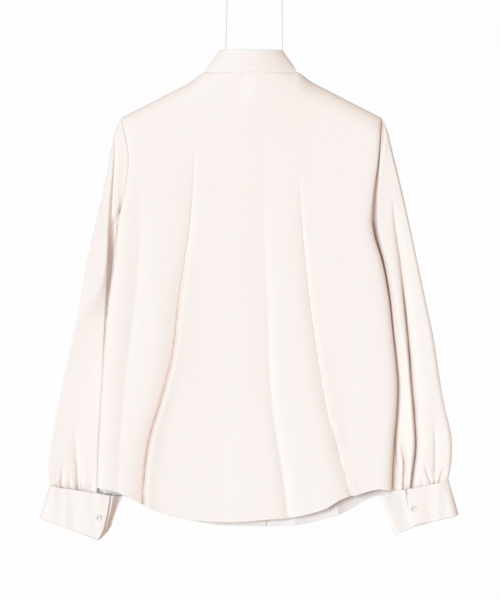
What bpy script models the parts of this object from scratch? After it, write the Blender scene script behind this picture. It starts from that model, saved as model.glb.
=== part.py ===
# A long-sleeve blouse with a stand collar, hung by its shoulders on a plain hanger.
# The front faces -Y and the back +Y. The origin is the underside of the hanger's wire loop, where a peg
# carries it.
# Lengths and tables here are in millimetres, and the objects are made in metres.
# Left and right are those of someone who looks at the back, so left is +X.

import math

import bmesh
import bpy
import numpy as np

MM = 0.001

# Cloth
WALL = 1.2
GAP = 0.3
SEAM = WALL / 2 + GAP / 2
PLY = WALL + 2 * GAP

# Shoulders and neck
NECK_HALF = 66.0
NECK_Z = -126.6
SHOULDER_SLOPE = 0.512
SHOULDER_ROUND = 34.0
BACK_NECK_RISE = 2.3
FRONT_NECK_DROP = 64.0
SIDE_ROUND = 40.0
NECK_SWELL = 9.0
NECK_SWELL_REACH = 75.0
NECK_SWELL_DROP = 90.0

# Folds of the body
FOLD_FADE = 40.0
FOLD_INSET = 14.0
HEM_NEAR_Z = -720.0
COLUMN_BUNCHING = 0.1
PANEL_ROWS = 14

# Collar band
COLLAR_TOP_HALF = 48.0
COLLAR_SIDE_Z = -98.5
COLLAR_BACK_Z = -92.5
COLLAR_FRONT_DROP = 62.0
COLLAR_BACK_Y = 27.0
COLLAR_FRONT_Y = 36.0
COLLAR_SEAM = 1.1
COLLAR_WALL = 1.6
COLLAR_BACK_SHARE = 0.45
COLLAR_LAP_REACH = 1.6

# Front closing
CENTRE_DRIFT = -7.0
CENTRE_DROP = 640.0
LAP_HALF = 15.0
LAP_START = 12.0
LAP_RAMP = 10.0
PLACKET_INSET = 0.5
BUTTON_RADIUS = 4.5
BUTTON_THICK = 2.2
BUTTON_RIM = 0.5
BUTTON_SIDES = 12
BUTTON_CREASE = 40.0
FRONT_BUTTONS = 6
FIRST_BUTTON_DROP = 22.0
LAST_BUTTON_Z = -690.0
FRONT_BUTTON_CLEAR = 0.4
CUFF_BUTTON_CLEAR = 0.6
COLLAR_BUTTON_CLEAR = 1.0

# Sleeves and cuffs
GATHERS = 12
GATHER_DEPTH = 2.6
GATHER_REACH = 62.0
GATHER_UNEVEN = 0.35
GATHER_DRIFT = 2.4
GATHER_PINCH = 0.75
PINCH_START = 0.9
CUFF_WALL = 1.8
SLEEVE_SEAM = 1.1
UNDERARM_EASE = 1.9
UNDERARM_START = 0.78
UNDERARM_RAMP = 0.12
SLEEVE_CLEAR = 6.5
SLEEVE_SLOPE = 2.0
SLEEVE_ROUND = 0.3
SLEEVE_BLEND = 3.0
SLEEVE_HOLLOW = 3.0

# Neck label
LABEL_WIDE = 18.0
LABEL_LONG = 41.0
LABEL_X = 3.6
LABEL_WALL = 1.0

# Hanger
BAR_RADIUS = 5.0
BAR_HALF = 170.0
BAR_TOP_GAP = 1.5
WIRE_RADIUS = 1.5
WIRE_LEFT_FOOT = 38.0
WIRE_RIGHT_FOOT = -44.0
WIRE_LEFT_TOP = 34.8
WIRE_RIGHT_TOP = -43.5
WIRE_CORNER = 18.0
BAR_NECK_RISE = 6.0
BAR_BLEND = 10.0

BACK, FRONT = 1, -1


def table(columns, *rows):
    """Rows of numbers under named columns, read by the first column."""
    ordered = np.array(sorted(rows), float)
    return dict(zip(columns.split(), ordered.T))


def read(rows, column, at):
    """A smooth value of one column, held at the table's two ends."""
    keys = next(iter(rows.values()))
    values = rows[column]
    slopes = np.gradient(values, keys)
    at = np.clip(at, keys[0], keys[-1])
    i = np.clip(np.searchsorted(keys, at) - 1, 0, len(keys) - 2)
    span = keys[i + 1] - keys[i]
    t = (at - keys[i]) / span
    start = (2 * t**3 - 3 * t**2 + 1) * values[i] + (t**3 - 2 * t**2 + t) * span * slopes[i]
    end = (3 * t**2 - 2 * t**3) * values[i + 1] + (t**3 - t**2) * span * slopes[i + 1]
    return start + end


# Side edges of the body: the armhole from the shoulder point to the underarm, then the side seam
EDGES = table(
    "z left right",
    (-187.4, 184.6, -186.0),
    (-197.4, 183.0, -184.8),
    (-220.0, 177.5, -183.2),
    (-242.8, 173.8, -181.2),
    (-262.7, 174.7, -178.4),
    (-282.6, 177.5, -174.7),
    (-312.4, 183.2, -170.4),
    (-333.0, 186.6, -168.6),
    (-352.0, 187.2, -172.0),
    (-393.0, 192.0, -184.6),
    (-441.6, 199.5, -194.5),
    (-490.0, 205.5, -200.5),
    (-532.5, 209.5, -205.5),
    (-566.6, 212.0, -208.0),
    (-603.5, 214.2, -207.0),
    (-646.0, 216.6, -203.5),
    (-688.7, 218.4, -201.0),
    (-722.0, 219.4, -200.2),
)
SHOULDER_Z = -187.4
UNDERARM_Z = -335.0
ARMHOLE_OPEN = 11.0

# Lower edges of the back and of the front, across the body
BACK_HEM = table(
    "x z",
    (219.4, -713.6),
    (183.2, -722.8),
    (156.2, -737.6),
    (140.6, -744.8),
    (100.8, -756.9),
    (54.0, -762.5),
    (11.4, -762.3),
    (-21.3, -759.5),
    (-52.5, -757.4),
    (-88.0, -749.8),
    (-108.0, -743.0),
    (-126.4, -731.8),
    (-150.5, -724.2),
    (-183.2, -716.2),
    (-200.2, -718.6),
)
FRONT_HEM = table(
    "x z",
    (219.4, -711.6),
    (183.2, -720.4),
    (156.2, -736.4),
    (140.6, -745.5),
    (100.8, -759.0),
    (44.0, -769.0),
    (1.4, -770.4),
    (-55.4, -769.6),
    (-105.0, -760.4),
    (-140.6, -746.9),
    (-169.0, -731.8),
    (-200.2, -723.5),
)

# How far the back and the front stand from the side plane
DEPTHS = table(
    "z back front",
    (-125.0, 19.0, 24.0),
    (-200.0, 18.0, 24.0),
    (-320.0, 17.0, 20.0),
    (-450.0, 18.0, 19.0),
    (-600.0, 20.0, 19.0),
    (-770.0, 22.0, 20.0),
)

# Hanging folds, as troughs that deepen towards the hem
FOLDS = {
    BACK: (
        table(
            "z x depth width",
            (-126.6, 66.0, 0.0, 8.0),
            (-231.5, 80.9, 0.0, 8.0),
            (-339.4, 83.8, 2.0, 8.0),
            (-453.0, 103.7, 4.5, 9.0),
            (-532.5, 115.0, 7.0, 10.0),
            (-583.6, 129.2, 10.0, 9.0),
            (-634.7, 144.5, 13.0, 8.0),
            (-702.9, 154.8, 14.0, 8.0),
            (-745.0, 156.0, 14.0, 8.0),
        ),
        table(
            "z x depth width",
            (-126.6, -15.6, 0.0, 20.0),
            (-362.0, -15.6, 2.5, 18.0),
            (-532.5, -21.3, 4.0, 16.0),
            (-617.7, -35.5, 6.0, 15.0),
            (-765.0, -49.0, 8.0, 14.0),
        ),
        table(
            "z x depth width",
            (-126.6, -66.0, 0.0, 9.0),
            (-240.0, -66.7, 0.0, 9.0),
            (-362.0, -75.3, 2.5, 9.0),
            (-453.0, -86.6, 4.0, 9.0),
            (-532.5, -98.0, 6.0, 10.0),
            (-617.7, -115.0, 9.0, 10.0),
            (-685.9, -135.0, 12.0, 9.0),
            (-730.0, -146.3, 13.0, 9.0),
        ),
        table(
            "z x depth width",
            (-260.0, 158.0, 0.0, 14.0),
            (-400.0, 162.0, 3.0, 13.0),
            (-600.0, 184.0, 3.0, 12.0),
            (-725.0, 192.0, 2.0, 12.0),
        ),
    ),
    FRONT: (
        table(
            "z x depth width",
            (-126.6, 66.0, 0.0, 9.0),
            (-260.0, 66.0, 0.0, 9.0),
            (-420.0, 80.0, 4.0, 10.0),
            (-600.0, 104.0, 9.0, 10.0),
            (-770.0, 118.0, 13.0, 9.0),
        ),
        table(
            "z x depth width",
            (-126.6, -66.0, 0.0, 9.0),
            (-280.0, -72.0, 0.0, 9.0),
            (-430.0, -92.0, 4.0, 10.0),
            (-610.0, -112.0, 8.0, 10.0),
            (-770.0, -124.0, 12.0, 9.0),
        ),
        table(
            "z x depth width",
            (-126.6, -38.0, 0.0, 12.0),
            (-300.0, -38.0, 0.0, 12.0),
            (-500.0, -48.0, 4.0, 13.0),
            (-770.0, -62.0, 7.0, 12.0),
        ),
        table(
            "z x depth width",
            (-126.6, 36.0, 0.0, 12.0),
            (-340.0, 34.0, 0.0, 12.0),
            (-560.0, 42.0, 4.0, 12.0),
            (-770.0, 56.0, 6.0, 12.0),
        ),
    ),
}

# Sleeve sections from the armhole to the cuff: the outer and inner ends of each, how far its back and
# front walls stand, the depth of its two ends, and how much of its form is its own, not the armhole's
SECTION = "s outer_x outer_z inner_x inner_z back front mid_out mid_in own"
SLEEVES = {
    "left": table(
        SECTION,
        (0, 185.8, -188.4, 188.2, -336.0, 11, -11, 0, 0, 0.0),
        (1, 194.0, -206.0, 188.8, -343.0, 12, -14, -1, -8, 0.35),
        (2, 199.5, -234.0, 186.8, -353.0, 13, -18, -3, -15, 0.7),
        (3, 205.0, -268.0, 184.5, -367.0, 13, -23, -5, -21, 0.92),
        (4, 213.0, -306.0, 182.5, -388.0, 13, -27, -7, -25, 1.0),
        (5, 224.0, -353.0, 179.5, -420.0, 13, -32, -8, -31, 1.0),
        (6, 235.0, -403.0, 175.0, -458.0, 13, -35, -9, -33, 1.0),
        (7, 244.5, -456.0, 171.0, -500.0, 12, -37, -10, -34, 1.0),
        (8, 255.0, -507.0, 168.0, -543.0, 11, -38, -10, -34, 1.0),
        (9, 265.5, -553.0, 167.0, -587.0, 10, -38, -10, -34, 1.0),
        (10, 274.5, -600.0, 168.0, -629.0, 10, -38, -10, -34, 1.0),
        (11, 282.8, -643.0, 172.0, -667.0, 9, -38, -10, -34, 1.0),
        (12, 288.3, -680.0, 179.0, -699.0, 9, -37, -10, -32, 1.0),
        (13, 286.3, -710.8, 185.0, -726.2, 8, -34, -10, -28, 1.0),
    ),
    "right": table(
        SECTION,
        (0, -187.2, -188.6, -170.6, -335.5, 11, -11, 0, 0, 0.0),
        (1, -195.0, -207.0, -172.0, -343.0, 11, -14, -1, -8, 0.35),
        (2, -201.0, -234.0, -171.8, -353.0, 11, -18, -3, -15, 0.7),
        (3, -209.0, -268.0, -173.0, -367.0, 11, -23, -5, -21, 0.92),
        (4, -218.0, -307.0, -177.0, -390.0, 11, -27, -7, -25, 1.0),
        (5, -229.0, -357.0, -178.5, -422.0, 11, -32, -8, -31, 1.0),
        (6, -239.5, -407.0, -178.0, -460.0, 11, -35, -9, -33, 1.0),
        (7, -250.0, -457.0, -174.0, -502.0, 11, -37, -10, -34, 1.0),
        (8, -260.0, -505.0, -172.0, -545.0, 11, -38, -10, -34, 1.0),
        (9, -267.0, -552.0, -172.0, -589.0, 11, -38, -10, -34, 1.0),
        (10, -275.0, -598.0, -172.0, -630.0, 11, -38, -10, -34, 1.0),
        (11, -284.5, -639.0, -174.0, -667.0, 10, -38, -10, -34, 1.0),
        (12, -285.5, -672.0, -179.0, -697.0, 9, -37, -10, -32, 1.0),
        (13, -280.8, -703.6, -183.0, -723.0, 8, -34, -10, -28, 1.0),
    ),
}
SLEEVE_FOLDS = {
    "left": {
        BACK: (
            table(
                "z x depth width",
                (-215.0, 191.0, 0.0, 4.0),
                (-263.0, 193.0, 9.0, 4.5),
                (-319.5, 196.7, 14.0, 5.0),
                (-376.0, 198.8, 14.0, 5.5),
                (-433.0, 203.8, 8.0, 5.0),
                (-504.0, 209.0, 2.0, 5.0),
                (-532.0, 211.0, 0.0, 5.0),
            ),
            table(
                "z x depth width",
                (-600.0, 250.0, 0.0, 5.0),
                (-655.0, 250.0, 4.0, 5.0),
                (-700.0, 248.0, 5.0, 4.0),
            ),
        ),
        FRONT: (
            table(
                "z x depth width",
                (-300.0, 205.0, 0.0, 6.0),
                (-420.0, 214.0, 12.0, 6.5),
                (-600.0, 236.0, 16.0, 7.0),
                (-700.0, 244.0, 9.0, 7.0),
            ),
        ),
    },
    "right": {
        BACK: (
            table(
                "z x depth width",
                (-290.0, -202.0, 0.0, 5.0),
                (-348.0, -206.0, 5.0, 5.0),
                (-412.0, -214.4, 9.0, 5.0),
                (-447.0, -218.7, 11.0, 5.0),
                (-518.0, -226.5, 12.0, 5.0),
                (-603.5, -233.2, 12.0, 5.0),
                (-646.0, -235.0, 11.0, 5.0),
                (-674.5, -232.2, 9.0, 5.0),
                (-715.0, -226.0, 6.0, 5.0),
            ),
            table(
                "z x depth width",
                (-200.0, -186.5, 0.0, 4.0),
                (-248.5, -184.5, 5.0, 4.0),
                (-305.0, -178.5, 8.0, 4.5),
                (-345.0, -180.5, 8.0, 4.5),
                (-393.0, -190.5, 6.0, 4.5),
                (-450.0, -199.0, 0.0, 4.5),
            ),
        ),
        FRONT: (
            table(
                "z x depth width",
                (-300.0, -207.0, 0.0, 6.0),
                (-430.0, -220.0, 7.0, 6.5),
                (-600.0, -240.0, 9.0, 7.0),
                (-700.0, -240.0, 7.0, 7.0),
            ),
        ),
    },
}

# Cuff rings from the gathered seam down to the open end
CUFFS = {
    "left": table(
        "s outer_x outer_z inner_x inner_z back front mid_out mid_in facet",
        (0, 286.8, -711.8, 184.6, -727.4, 9, -35, -10, -28, 0.16),
        (1, 293.5, -734.6, 200.0, -757.6, 11, -37, -12, -24, 0.12),
        (2, 300.3, -757.6, 214.6, -787.6, 12, -38, -13, -20, 0.08),
    ),
    "right": table(
        "s outer_x outer_z inner_x inner_z back front mid_out mid_in facet",
        (0, -281.2, -704.6, -182.6, -724.2, 9, -35, -10, -28, 0.42),
        (1, -288.3, -729.0, -194.5, -751.0, 11, -37, -12, -24, 0.34),
        (2, -295.4, -753.3, -207.0, -784.4, 12, -38, -13, -20, 0.27),
    ),
}
CUFF_ROUND = 0.1
CUFF_BUTTONS = {"left": (217.3, -756.9), "right": (-230.0, -744.1)}

CLOTH = (0.93, 0.85, 0.79)
PEARL = (0.90, 0.88, 0.86)
LABEL = (0.96, 0.92, 0.90)
HANGER = (0.92, 0.92, 0.93)


def rounded(t):
    """A quarter circle from 0 to 1."""
    return np.sqrt(1 - (1 - np.clip(t, 0, 1)) ** 2)


def eased(t):
    t = np.clip(t, 0, 1)
    return t * t * (3 - 2 * t)


def lobe(t, rise, fall):
    """0 at both ends of t, rounded up to 1 between them."""
    return rounded(t / rise) * rounded((1 - t) / fall)


def lower_of(a, b, blend):
    """The smaller of two, with a soft join as long as blend."""
    h = np.clip(0.5 + (b - a) / (2 * blend), 0, 1)
    return b + (a - b) * h - blend * h * (1 - h)


def mix(a, b, t):
    return a + (b - a) * t


def trough(folds, x, z):
    """How deep a set of folds is at a place on the cloth."""
    total = np.zeros(np.broadcast(x, z).shape)
    for fold in folds:
        across = (x - read(fold, "x", z)) / read(fold, "width", z)
        keys = fold["z"]
        fade = eased((keys[-1] - z) / FOLD_FADE + 1) * eased((z - keys[0]) / FOLD_FADE + 1)
        total = total + read(fold, "depth", z) * fade * np.exp(-(across**2))
    return total


def ridge(x):
    """Height of the shoulder line, which arches up inside the neck, clear of the cloth."""
    out = np.maximum(np.abs(x) - NECK_HALF, 0)
    inside = np.sqrt(np.clip(1 - (x / NECK_HALF) ** 2, 0, 1))
    return NECK_Z - SHOULDER_SLOPE * out + SHOULDER_ROUND * inside


def body_y(side, x, z):
    """Depth of the back (+) or the front (-) of the body at a place in its outline."""
    inset = np.minimum(read(EDGES, "left", z) - x, x - read(EDGES, "right", z))
    swell = NECK_SWELL * np.exp(-((x / NECK_SWELL_REACH) ** 2) - ((z - NECK_Z) / NECK_SWELL_DROP) ** 2)
    depth = read(DEPTHS, "back" if side == BACK else "front", z) + swell
    down = np.clip((SHOULDER_Z - z) / (SHOULDER_Z - UNDERARM_Z), 0, 1)
    edge = SEAM + ARMHOLE_OPEN * lobe(down, 0.5, 0.5)
    y = edge + (depth - edge) * rounded(inset / SIDE_ROUND)
    y = SEAM + (y - SEAM) * rounded((ridge(x) - z) / SHOULDER_ROUND)
    return side * (y - trough(FOLDS[side], x, z) * eased(inset / FOLD_INSET))


def neck_top(side, x):
    """Height of a panel's upper edge: neckline between the neck points, shoulder seam outside them."""
    inside = np.sqrt(np.clip(1 - (x / NECK_HALF) ** 2, 0, 1))
    curve = BACK_NECK_RISE * inside**2 if side == BACK else -FRONT_NECK_DROP * inside
    out = np.maximum(np.abs(x) - NECK_HALF, 0)
    return NECK_Z - SHOULDER_SLOPE * out + curve


def centre_x(z):
    """The line that the front closes on, which swings a little aside towards the hem."""
    return CENTRE_DRIFT * np.clip((NECK_Z - z) / CENTRE_DROP, 0, 1)


# Rows of a body panel, closer together where it rounds over the shoulder
DOWN = np.concatenate([[0, 0.006, 0.018, 0.036, 0.065], np.linspace(0.11, 1, PANEL_ROWS + 1)])


def along(fraction):
    """Stations between two guides, closer together near them."""
    return fraction - COLUMN_BUNCHING * np.sin(2 * math.pi * fraction)


def panel(side, lines, counts):
    """Points of a body panel from the shoulder to the hem. Its columns run between lines, functions of
    height that are its two edges and the folds between them, with so many columns from each to the next."""
    hem = BACK_HEM if side == BACK else FRONT_HEM
    shares = [np.zeros(1)] + [i + along(np.arange(1, n + 1) / n) for i, n in enumerate(counts)]
    share = np.concatenate(shares)

    def across(*heights):
        knots = [line(height) for line, height in zip(lines, heights)]
        return np.interp(share, np.arange(len(lines)), knots)

    top_x = across(*[SHOULDER_Z] * len(lines))
    low = [float(read(hem, "z", line(HEM_NEAR_Z))) for line in lines]
    low_x = across(*low)
    top_z = neck_top(side, top_x)
    low_z = read(hem, "z", low_x)
    rows_x, rows_z = [], []
    for part in DOWN:
        z = mix(top_z, low_z, part)
        at = [float(np.interp(i, share, z)) for i in range(len(lines))]
        x = top_x if part == 0 else across(*at)
        rows_x.append(x)
        rows_z.append(z)
    return np.array(rows_x), np.array(rows_z)


def fold_line(side, number):
    return lambda z: float(read(FOLDS[side][number], "x", z))


def left_edge(z):
    return read(EDGES, "left", z)


def right_edge(z):
    return read(EDGES, "right", z)


def material(name, colour, roughness, sheen):
    made = bpy.data.materials.new(name)
    made.use_nodes = True
    shader = made.node_tree.nodes["Principled BSDF"]
    shader.inputs["Base Color"].default_value = (*colour, 1)
    shader.inputs["Roughness"].default_value = roughness
    shader.inputs["Metallic"].default_value = 0
    shader.inputs["Sheen Weight"].default_value = sheen
    return made


def cloth(name):
    return material(f"{name}_cloth", CLOTH, 0.7, 0.2)


def collection():
    for obj in list(bpy.data.objects):
        bpy.data.objects.remove(obj, do_unlink=True)
    parts = bpy.data.collections.new("long_sleeve_blouse")
    bpy.context.scene.collection.children.link(parts)
    return parts


def sheet(parts, name, x, y, z, wall, look, closed=False):
    """An open surface through a grid of points, given its wall by Solidify."""
    bm = bmesh.new()
    grid = [[bm.verts.new(point) for point in row] for row in (np.stack([x, y, z], -1) * MM).tolist()]
    rows = len(grid)
    columns = len(grid[0])
    for i in range(rows - 1):
        for j in range(columns - (0 if closed else 1)):
            k = (j + 1) % columns
            bm.faces.new((grid[i][j], grid[i + 1][j], grid[i + 1][k], grid[i][k]))
    mesh = bpy.data.meshes.new(name)
    bm.to_mesh(mesh)
    bm.free()
    mesh.shade_smooth()
    obj = bpy.data.objects.new(name, mesh)
    parts.objects.link(obj)
    mesh.materials.append(look)
    solid = obj.modifiers.new("wall", "SOLIDIFY")
    solid.thickness = wall * MM
    solid.offset = 0
    return obj


def make_back(parts):
    folds = [fold_line(BACK, number) for number in range(3)]
    x, z = panel(BACK, [left_edge, *folds, right_edge], (11, 11, 8, 10))
    sheet(parts, "back", x, body_y(BACK, x, z), z, WALL, cloth("back"))


def under_edge(z):
    return centre_x(z) - LAP_HALF


def over_edge(z):
    return centre_x(z) + LAP_HALF


def over_y(x, z):
    """Depth of the front that laps over: its edge lies one ply further out."""
    return body_y(FRONT, x, z) - PLY * eased((x - under_edge(z) + LAP_START) / LAP_RAMP)


def make_fronts(parts):
    lines = [left_edge, fold_line(FRONT, 0), fold_line(FRONT, 3), under_edge]
    x, z = panel(FRONT, lines, (8, 4, 5))
    sheet(parts, "front_left", x, body_y(FRONT, x, z), z, WALL, cloth("front_left"))
    lines = [over_edge, fold_line(FRONT, 2), fold_line(FRONT, 1), right_edge]
    x, z = panel(FRONT, lines, (6, 4, 8))
    sheet(parts, "front_right", x, over_y(x, z), z, WALL, cloth("front_right"))


def placket_y(x, z):
    return over_y(x, z) - PLY


def make_placket(parts):
    down = np.linspace(0, 1, 17)[:, None]
    across = np.linspace(1, -1, 4)[None, :] * (LAP_HALF - PLACKET_INSET)
    top = neck_top(FRONT, across)
    z = mix(top, read(FRONT_HEM, "z", across + CENTRE_DRIFT), down)
    x = centre_x(z) + across
    sheet(parts, "front_placket", x, placket_y(x, z), z, WALL, cloth("placket"))


def collar_points(turn, up):
    """The collar at a share of the turn round the neck from the centre front, and a share of its height."""
    reach = math.asin(LAP_HALF / NECK_HALF) / (2 * math.pi)
    side = -np.sin(2 * math.pi * turn)
    back = -np.cos(2 * math.pi * turn)
    behind = back > 0
    seam_x = NECK_HALF * side
    seam_z = np.where(behind, neck_top(BACK, seam_x), neck_top(FRONT, seam_x))
    seam_y = np.where(behind, body_y(BACK, seam_x, seam_z), body_y(FRONT, seam_x, seam_z))
    low_x = (NECK_HALF - COLLAR_SEAM) * side
    low_z = seam_z + COLLAR_SEAM
    top_x = COLLAR_TOP_HALF * side
    top_y = np.where(behind, COLLAR_BACK_Y, COLLAR_FRONT_Y) * back
    fall = np.where(behind, 0, COLLAR_FRONT_DROP * np.abs(back))
    top_z = mix(COLLAR_SIDE_Z, COLLAR_BACK_Z, eased(back / COLLAR_BACK_SHARE)) - fall
    lap = eased(COLLAR_LAP_REACH - (turn + reach) / reach)
    return mix(low_x, top_x, up), mix(seam_y, top_y, up) - 2 * PLY * lap, mix(low_z, top_z, up)


def make_collar(parts):
    """A band that stands on the neckline and leans in to its upper edge. Its ends lap at the front."""
    reach = math.asin(LAP_HALF / NECK_HALF) / (2 * math.pi)
    turn = np.linspace(-reach, 1 + reach, 45)[None, :]
    up = np.linspace(0, 1, 4)[:, None]
    x, y, z = collar_points(turn, up)
    sheet(parts, "collar", x, y, z, COLLAR_WALL, cloth("collar"))


def around(count):
    """Stations round a tube: u across from the outer end to the inner one, and which wall each is on."""
    angle = (np.arange(count) + 0.5) / count * 2 * math.pi
    return (1 - np.cos(angle)) / 2, np.where(angle < math.pi, BACK, FRONT)


def gathers(count, near):
    """Waves of the cloth round the wrist, for stations round a tube and nearness to the cuff from 0 to 1."""
    at = np.arange(count)[None, :] * GATHERS / count
    uneven = 1 + GATHER_UNEVEN * np.sin(GATHER_DRIFT * at)
    wave = np.cos(2 * math.pi * (at + 0.5 * GATHERS / count)) * uneven
    pinch = 1 - GATHER_PINCH * eased((near - PINCH_START) / (1 - PINCH_START))
    return GATHER_DEPTH * wave * near**2 * pinch


def sleeve_points(which, rings, count):
    rows = SLEEVES[which]
    edge = left_edge if which == "left" else right_edge
    out = 1 if which == "left" else -1
    s = np.linspace(0, len(rows["s"]) - 1, rings)[:, None]
    u, wall = around(count)
    u = u[None, :]
    back = (wall == BACK)[None, :]
    seam_z = mix(rows["outer_z"][0], rows["inner_z"][0], u)
    ease = UNDERARM_EASE * eased((u - UNDERARM_START) / UNDERARM_RAMP)
    seam_x = edge(seam_z) + out * (SLEEVE_SEAM + ease)
    bow = seam_x - mix(rows["outer_x"][0], rows["inner_x"][0], u)
    own = read(rows, "own", s)
    x = mix(read(rows, "outer_x", s), read(rows, "inner_x", s), u) + bow * (1 - own)
    z = mix(read(rows, "outer_z", s), read(rows, "inner_z", s), u)
    middle = mix(read(rows, "mid_out", s), read(rows, "mid_in", s), u)
    outside = out * (x - edge(z))
    limit = np.where(outside < 0, body_y(FRONT, x, z), -SEAM) - SLEEVE_CLEAR
    limit = limit + SLEEVE_SLOPE * np.maximum(outside, 0)
    full = lobe(u, SLEEVE_ROUND, SLEEVE_ROUND)
    rear = read(rows, "back", s) - trough(SLEEVE_FOLDS[which][BACK], x, z)
    rear = lower_of(mix(middle, rear, full), limit, SLEEVE_BLEND)
    fore = read(rows, "front", s) + trough(SLEEVE_FOLDS[which][FRONT], x, z)
    fore = np.minimum(mix(middle, fore, full), rear - SLEEVE_HOLLOW * full)
    own_y = np.where(back, rear, fore)
    seam_y = np.where(back, body_y(BACK, edge(seam_z), seam_z), body_y(FRONT, edge(seam_z), seam_z))
    y = mix(seam_y, own_y, own)
    low_z = mix(rows["outer_z"][-1], rows["inner_z"][-1], u)
    swell = gathers(count, np.clip(1 - (z - low_z) / GATHER_REACH, 0, 1))
    y = y + np.where(back, swell, -swell) * full
    return x, y, z


def make_sleeves(parts):
    for which in SLEEVES:
        x, y, z = sleeve_points(which, 14, 4 * GATHERS)
        sheet(parts, f"sleeve_{which}", x, y, z, WALL, cloth(f"sleeve_{which}"), closed=True)


def cuff_points(which, rings, count):
    rows = CUFFS[which]
    s = np.linspace(0, 2, rings)[:, None]
    u, wall = around(count)
    u = u[None, :]
    x = mix(read(rows, "outer_x", s), read(rows, "inner_x", s), u)
    z = mix(read(rows, "outer_z", s), read(rows, "inner_z", s), u)
    middle = mix(read(rows, "mid_out", s), read(rows, "mid_in", s), u)
    full = lobe(u, CUFF_ROUND, CUFF_ROUND)
    facet = eased((1 - u) / read(rows, "facet", s))
    rear = mix(middle, read(rows, "back", s), full * facet)
    fore = mix(middle, read(rows, "front", s), full)
    return x, np.where((wall == BACK)[None, :], rear, fore), z


def cuff_surface_y(which, x, z):
    """Depth of the cuff's outer face at a place on it, found in its own rows."""
    rows = CUFFS[which]
    s = np.linspace(0, 2, 81)
    u = (x - read(rows, "outer_x", s)) / (read(rows, "inner_x", s) - read(rows, "outer_x", s))
    height = mix(read(rows, "outer_z", s), read(rows, "inner_z", s), u)
    i = int(np.argmin(np.abs(height - z)))
    full = lobe(u[i], CUFF_ROUND, CUFF_ROUND) * eased((1 - u[i]) / read(rows, "facet", s[i]))
    middle = mix(read(rows, "mid_out", s[i]), read(rows, "mid_in", s[i]), u[i])
    return float(mix(middle, read(rows, "back", s[i]), full))


def make_cuffs(parts):
    for which in CUFFS:
        x, y, z = cuff_points(which, 4, 32)
        sheet(parts, f"cuff_{which}", x, y, z, CUFF_WALL, cloth(f"cuff_{which}"), closed=True)


def button(parts, name, place, facing, look):
    """A flat round button with softened rims, its back just clear of the cloth."""
    bm = bmesh.new()
    radius = BUTTON_RADIUS * MM
    thick = BUTTON_THICK * MM
    bmesh.ops.create_cone(
        bm, cap_ends=True, segments=BUTTON_SIDES, radius1=radius, radius2=radius, depth=thick
    )
    rims = [edge for edge in bm.edges if abs(edge.verts[0].co.z - edge.verts[1].co.z) < MM * GAP]
    bmesh.ops.bevel(bm, geom=rims, offset=BUTTON_RIM * MM, segments=1, affect="EDGES", profile=0.5)
    mesh = bpy.data.meshes.new(name)
    bm.to_mesh(mesh)
    bm.free()
    mesh.shade_smooth()
    mesh.set_sharp_from_angle(angle=math.radians(BUTTON_CREASE))
    mesh.materials.append(look)
    obj = bpy.data.objects.new(name, mesh)
    x, y, z = place
    obj.location = (x * MM, (y + facing * (BUTTON_THICK / 2 + GAP)) * MM, z * MM)
    obj.rotation_euler = (math.pi / 2, 0, 0)
    parts.objects.link(obj)
    return obj


def make_buttons(parts):
    look = material("button_pearl", PEARL, 0.25, 0)
    first = neck_top(FRONT, 0.0) - FIRST_BUTTON_DROP
    for i, z in enumerate(np.linspace(first, LAST_BUTTON_Z, FRONT_BUTTONS)):
        x = float(centre_x(z))
        y = float(placket_y(x, z)) - WALL / 2 - FRONT_BUTTON_CLEAR
        button(parts, f"front_button_{i + 1}", (x, y, float(z)), FRONT, look)
    x, y, z = (float(value) for value in collar_points(0.0, 0.5))
    button(parts, "collar_button", (x, y - COLLAR_WALL / 2 - COLLAR_BUTTON_CLEAR, z), FRONT, look)
    for which, (x, z) in CUFF_BUTTONS.items():
        y = cuff_surface_y(which, x, z) + CUFF_WALL / 2 + CUFF_BUTTON_CLEAR
        button(parts, f"cuff_button_{which}", (x, y, z), BACK, look)


def make_label(parts):
    """A blank label that hangs inside the back from the neck seam."""
    down = np.linspace(0, 1, 4)[:, None]
    across = np.linspace(1, -1, 4)[None, :]
    x = LABEL_X + across * LABEL_WIDE / 2 + 0 * down
    z = NECK_Z - LABEL_LONG * down + 0 * across
    y = body_y(BACK, x, z) - (WALL + LABEL_WALL) / 2 - GAP
    sheet(parts, "neck_label", x, y, z, LABEL_WALL, material("label_cloth", LABEL, 0.6, 0))


def tube(parts, name, points, radius, look):
    curve = bpy.data.curves.new(name, "CURVE")
    curve.dimensions = "3D"
    curve.bevel_depth = radius * MM
    curve.bevel_resolution = 2
    curve.use_fill_caps = True
    line = curve.splines.new("POLY")
    line.points.add(len(points) - 1)
    for point, place in zip(line.points, points):
        point.co = (*(value * MM for value in place), 1)
    line.use_smooth = True
    obj = bpy.data.objects.new(name, curve)
    curve.materials.append(look)
    parts.objects.link(obj)
    return obj


def bar_z(x):
    """The hanger's bar follows the shoulders and runs flat and rounded over the neck."""
    sloping = NECK_Z - SHOULDER_SLOPE * (np.abs(x) - NECK_HALF)
    return lower_of(sloping, NECK_Z + BAR_NECK_RISE, BAR_BLEND) - BAR_TOP_GAP - BAR_RADIUS


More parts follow.
